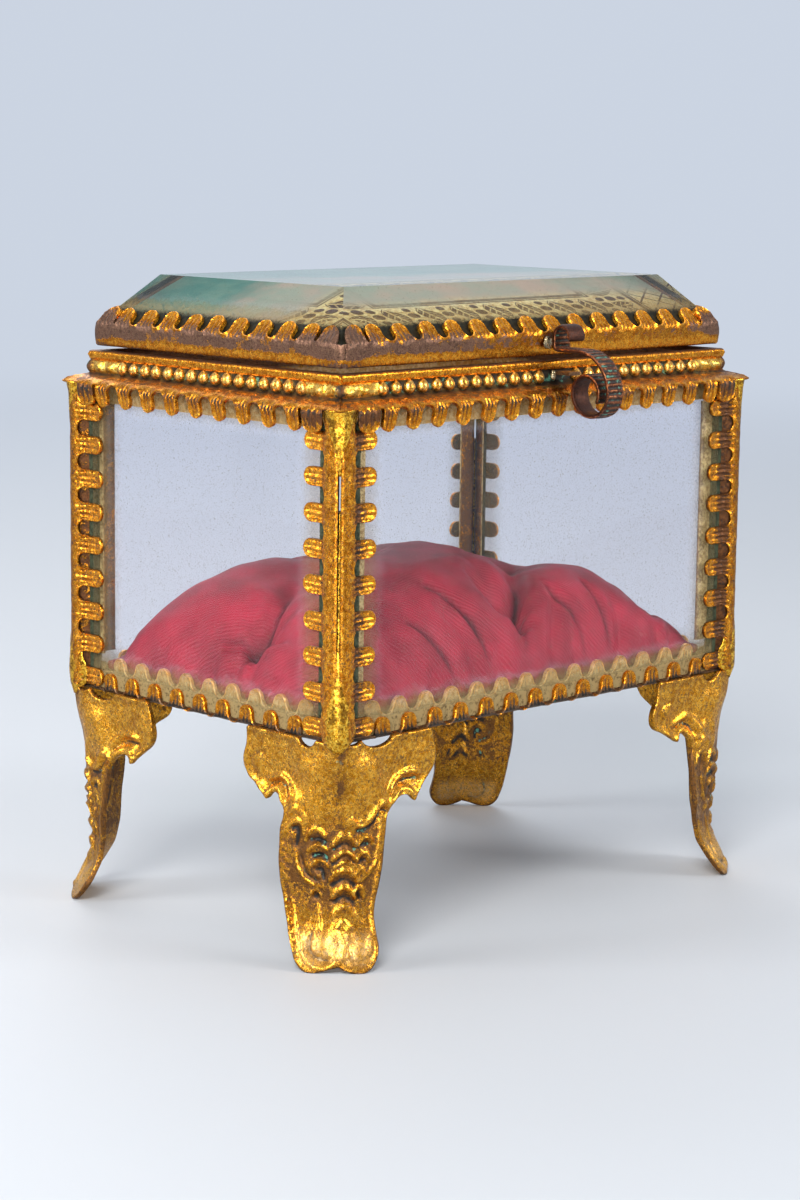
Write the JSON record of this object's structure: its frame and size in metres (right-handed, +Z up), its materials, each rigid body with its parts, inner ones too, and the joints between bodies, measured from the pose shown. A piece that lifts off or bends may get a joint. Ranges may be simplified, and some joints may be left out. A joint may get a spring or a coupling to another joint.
{
  "type": "glass casket box",
  "caption": "Small four-footed glass casket with stamped brass strips, a bevelled glass lid on a rear hinge, a scroll latch and a tufted silk cushion.",
  "frame": {"origin": "on the floor, at the middle of the whole part's box", "axes": "+X along the front to the right, -Y towards the latch, +Z up"},
  "size_m": [0.0906, 0.069, 0.0923],
  "materials": {
    "gilt_brass": "stamped and gilded, worn, brown patina in the hollows",
    "worn_brass": "gilding worn to brown, with bright flecks",
    "coppered_brass": "dark brown, with green verdigris in the ribs",
    "tin_solder": "dull grey tin solder",
    "glass": "clear, lightly dusty",
    "print": "printed paper, teal and cream",
    "card": "brown card",
    "silk": "ribbed silk over wadding"
  },
  "bodies": {
    "casket": {"base_rail_front": "gilt_brass", "base_rail_back": "gilt_brass", "base_rail_left": "gilt_brass", "base_rail_right": "gilt_brass", "strip_front_left_face": "gilt_brass", "strip_front_left_side": "gilt_brass", "strip_front_right_face": "gilt_brass", "strip_front_right_side": "gilt_brass", "strip_back_left_face": "gilt_brass", "strip_back_left_side": "gilt_brass", "strip_back_right_face": "gilt_brass", "strip_back_right_side": "gilt_brass", "rim_front": "gilt_brass", "rim_back": "gilt_brass", "rim_left": "gilt_brass", "rim_right": "gilt_brass", "foot_front_left": "gilt_brass", "foot_front_right": "gilt_brass", "foot_back_left": "gilt_brass", "foot_back_right": "gilt_brass", "corner_solder": "gilt_brass", "hinge_leaf_body": "gilt_brass", "pane_front": "glass", "pane_back": "glass", "pane_left": "glass", "pane_right": "glass", "base_plate": "worn_brass", "hinge_pin": "worn_brass", "keeper": "coppered_brass", "keeper_solder": "tin_solder", "cushion_card": "card", "cushion": "silk"},
    "lid": {"lid_frame": "worn_brass", "lid_glass": "glass", "lid_print": "print", "lid_card": "card", "latch_scroll": "coppered_brass", "latch_solder": "tin_solder", "hinge_leaf_lid": "gilt_brass"}
  },
  "joints": [
    {"name": "lid_hinge", "type": "hinge", "parent": "casket", "child": "lid", "pos_m": [0, 0.0307, 0.0818], "axis": [-1, 0, 0], "range_deg": [0, 105]}
  ]
}
